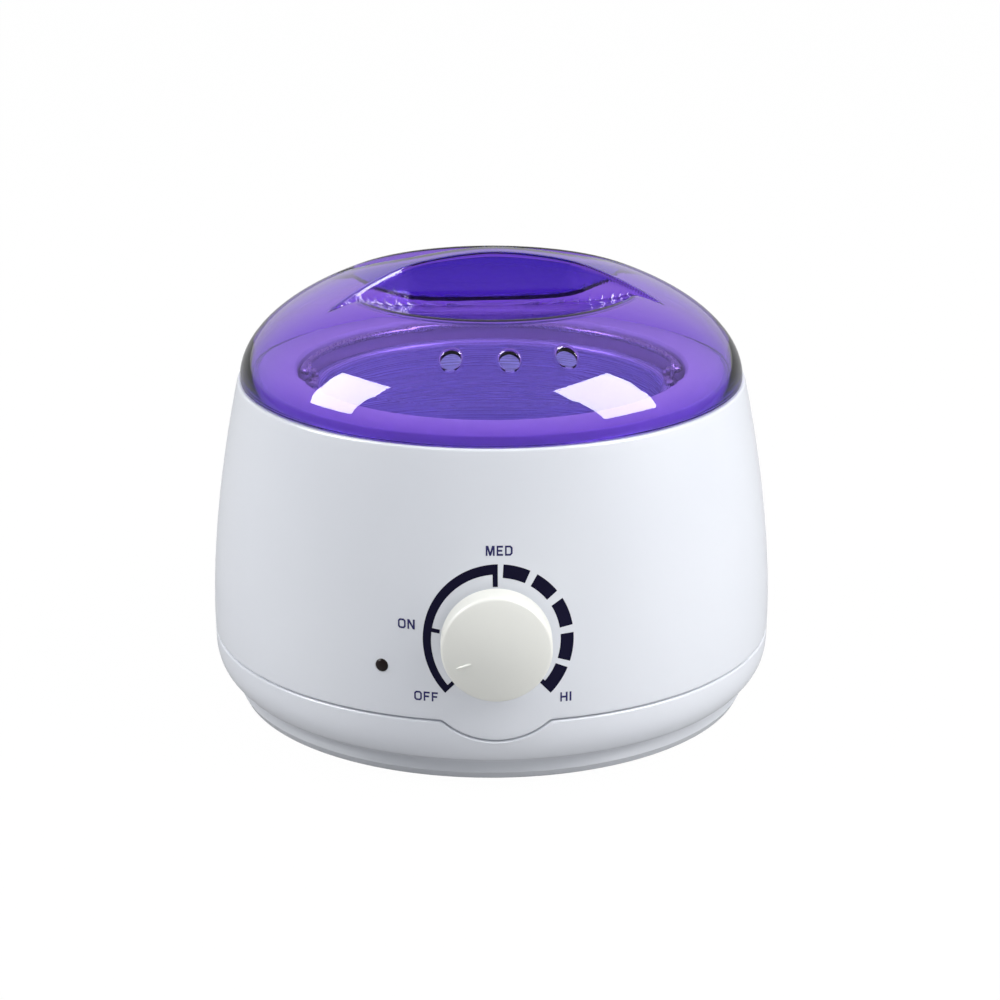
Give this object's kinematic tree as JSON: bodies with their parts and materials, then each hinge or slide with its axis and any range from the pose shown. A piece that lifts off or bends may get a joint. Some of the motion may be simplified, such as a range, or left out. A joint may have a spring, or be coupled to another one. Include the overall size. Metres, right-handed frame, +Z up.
{
  "type": "wax warmer pot",
  "caption": "Round salon wax warmer with a heated well, lift-out pot with bail, domed tinted lid with finger bridge, and a front dial.",
  "frame": {"origin": "centre of the bounding box in plan, on the plane that the feet stand on", "axes": "+Z up, the dial faces -Y, +X to the right as seen from the front"},
  "size_m": [0.186, 0.1978, 0.1511],
  "materials": {
    "shell_plastic": "smooth glossy cool white moulded plastic",
    "knob_plastic": "satin warm white moulded plastic",
    "lid_plastic": "clear violet tinted plastic, polished",
    "rubber": "matt black rubber",
    "aluminium": "spun and lightly brushed aluminium",
    "steel": "bright zinc-plated steel",
    "brass": "turned brass",
    "heater_wrap": "mica-faced heating element band",
    "insulation": "glass-fibre felt",
    "moulding": "off-white heat-resistant moulding",
    "lamp_plastic": "dark red clear plastic, unlit",
    "lead_sleeve_red": "silicone sleeve",
    "lead_sleeve_blue": "silicone sleeve"
  },
  "bodies": {
    "housing": {"base_pan": "shell_plastic", "upper_shell": "shell_plastic", "rubber_foot_1": "rubber", "rubber_foot_2": "rubber", "rubber_foot_3": "rubber", "rubber_foot_4": "rubber", "case_screw_1": "steel", "case_screw_2": "steel", "case_screw_3": "steel", "case_screw_4": "steel", "heater_pan": "aluminium", "heater_band": "heater_wrap", "band_strap": "steel", "strap_screw": "steel", "strap_nut": "steel", "insulation_wrap": "insulation", "thermal_fuse": "moulding", "fuse_clip": "steel", "thermostat_body": "moulding", "thermostat_bracket": "steel", "thermostat_nut": "brass", "bracket_screw_left": "steel", "bracket_screw_right": "steel", "sensor_pad": "aluminium", "indicator_lens": "lamp_plastic", "lamp_holder": "moulding", "cord_gland": "rubber", "terminal_block": "moulding", "terminal_screw_1": "brass", "terminal_screw_2": "brass", "terminal_screw_3": "brass", "lead_supply": "lead_sleeve_red", "lead_heater_front": "lead_sleeve_red", "lead_heater_rear": "lead_sleeve_blue", "lead_lamp": "lead_sleeve_blue"},
    "control": {"control_knob": "knob_plastic", "thermostat_spindle": "brass"},
    "pot": {"inner_pot": "aluminium", "bail_ear_left": "steel", "bail_ear_right": "steel", "ear_rivet_1": "aluminium", "ear_rivet_2": "aluminium", "ear_rivet_3": "aluminium", "ear_rivet_4": "aluminium"},
    "bail": {"bail_wire": "steel"},
    "lid": {"lid": "lid_plastic"}
  },
  "joints": [
    {"name": "dial_turn", "type": "hinge", "parent": "housing", "child": "control", "pos_m": [0, -0.09, 0.0517], "axis": [0, 1, 0], "range_deg": [-17, 254]},
    {"name": "pot_lift", "type": "slide", "parent": "housing", "child": "pot", "axis": [0, 0, 1], "range_m": [0, 0.075]},
    {"name": "lid_lift", "type": "slide", "parent": "pot", "child": "lid", "axis": [0, 0, 1], "range_m": [0, 0.09]},
    {"name": "bail_swing", "type": "hinge", "parent": "pot", "child": "bail", "pos_m": [0, 0.00588, 0.1098], "axis": [1, 0, 0], "range_deg": [0, 90]}
  ],
  "couplings": [
    {"joint": "bail_swing", "follows": "lid_lift", "rad_per_m": 17.434}
  ]
}
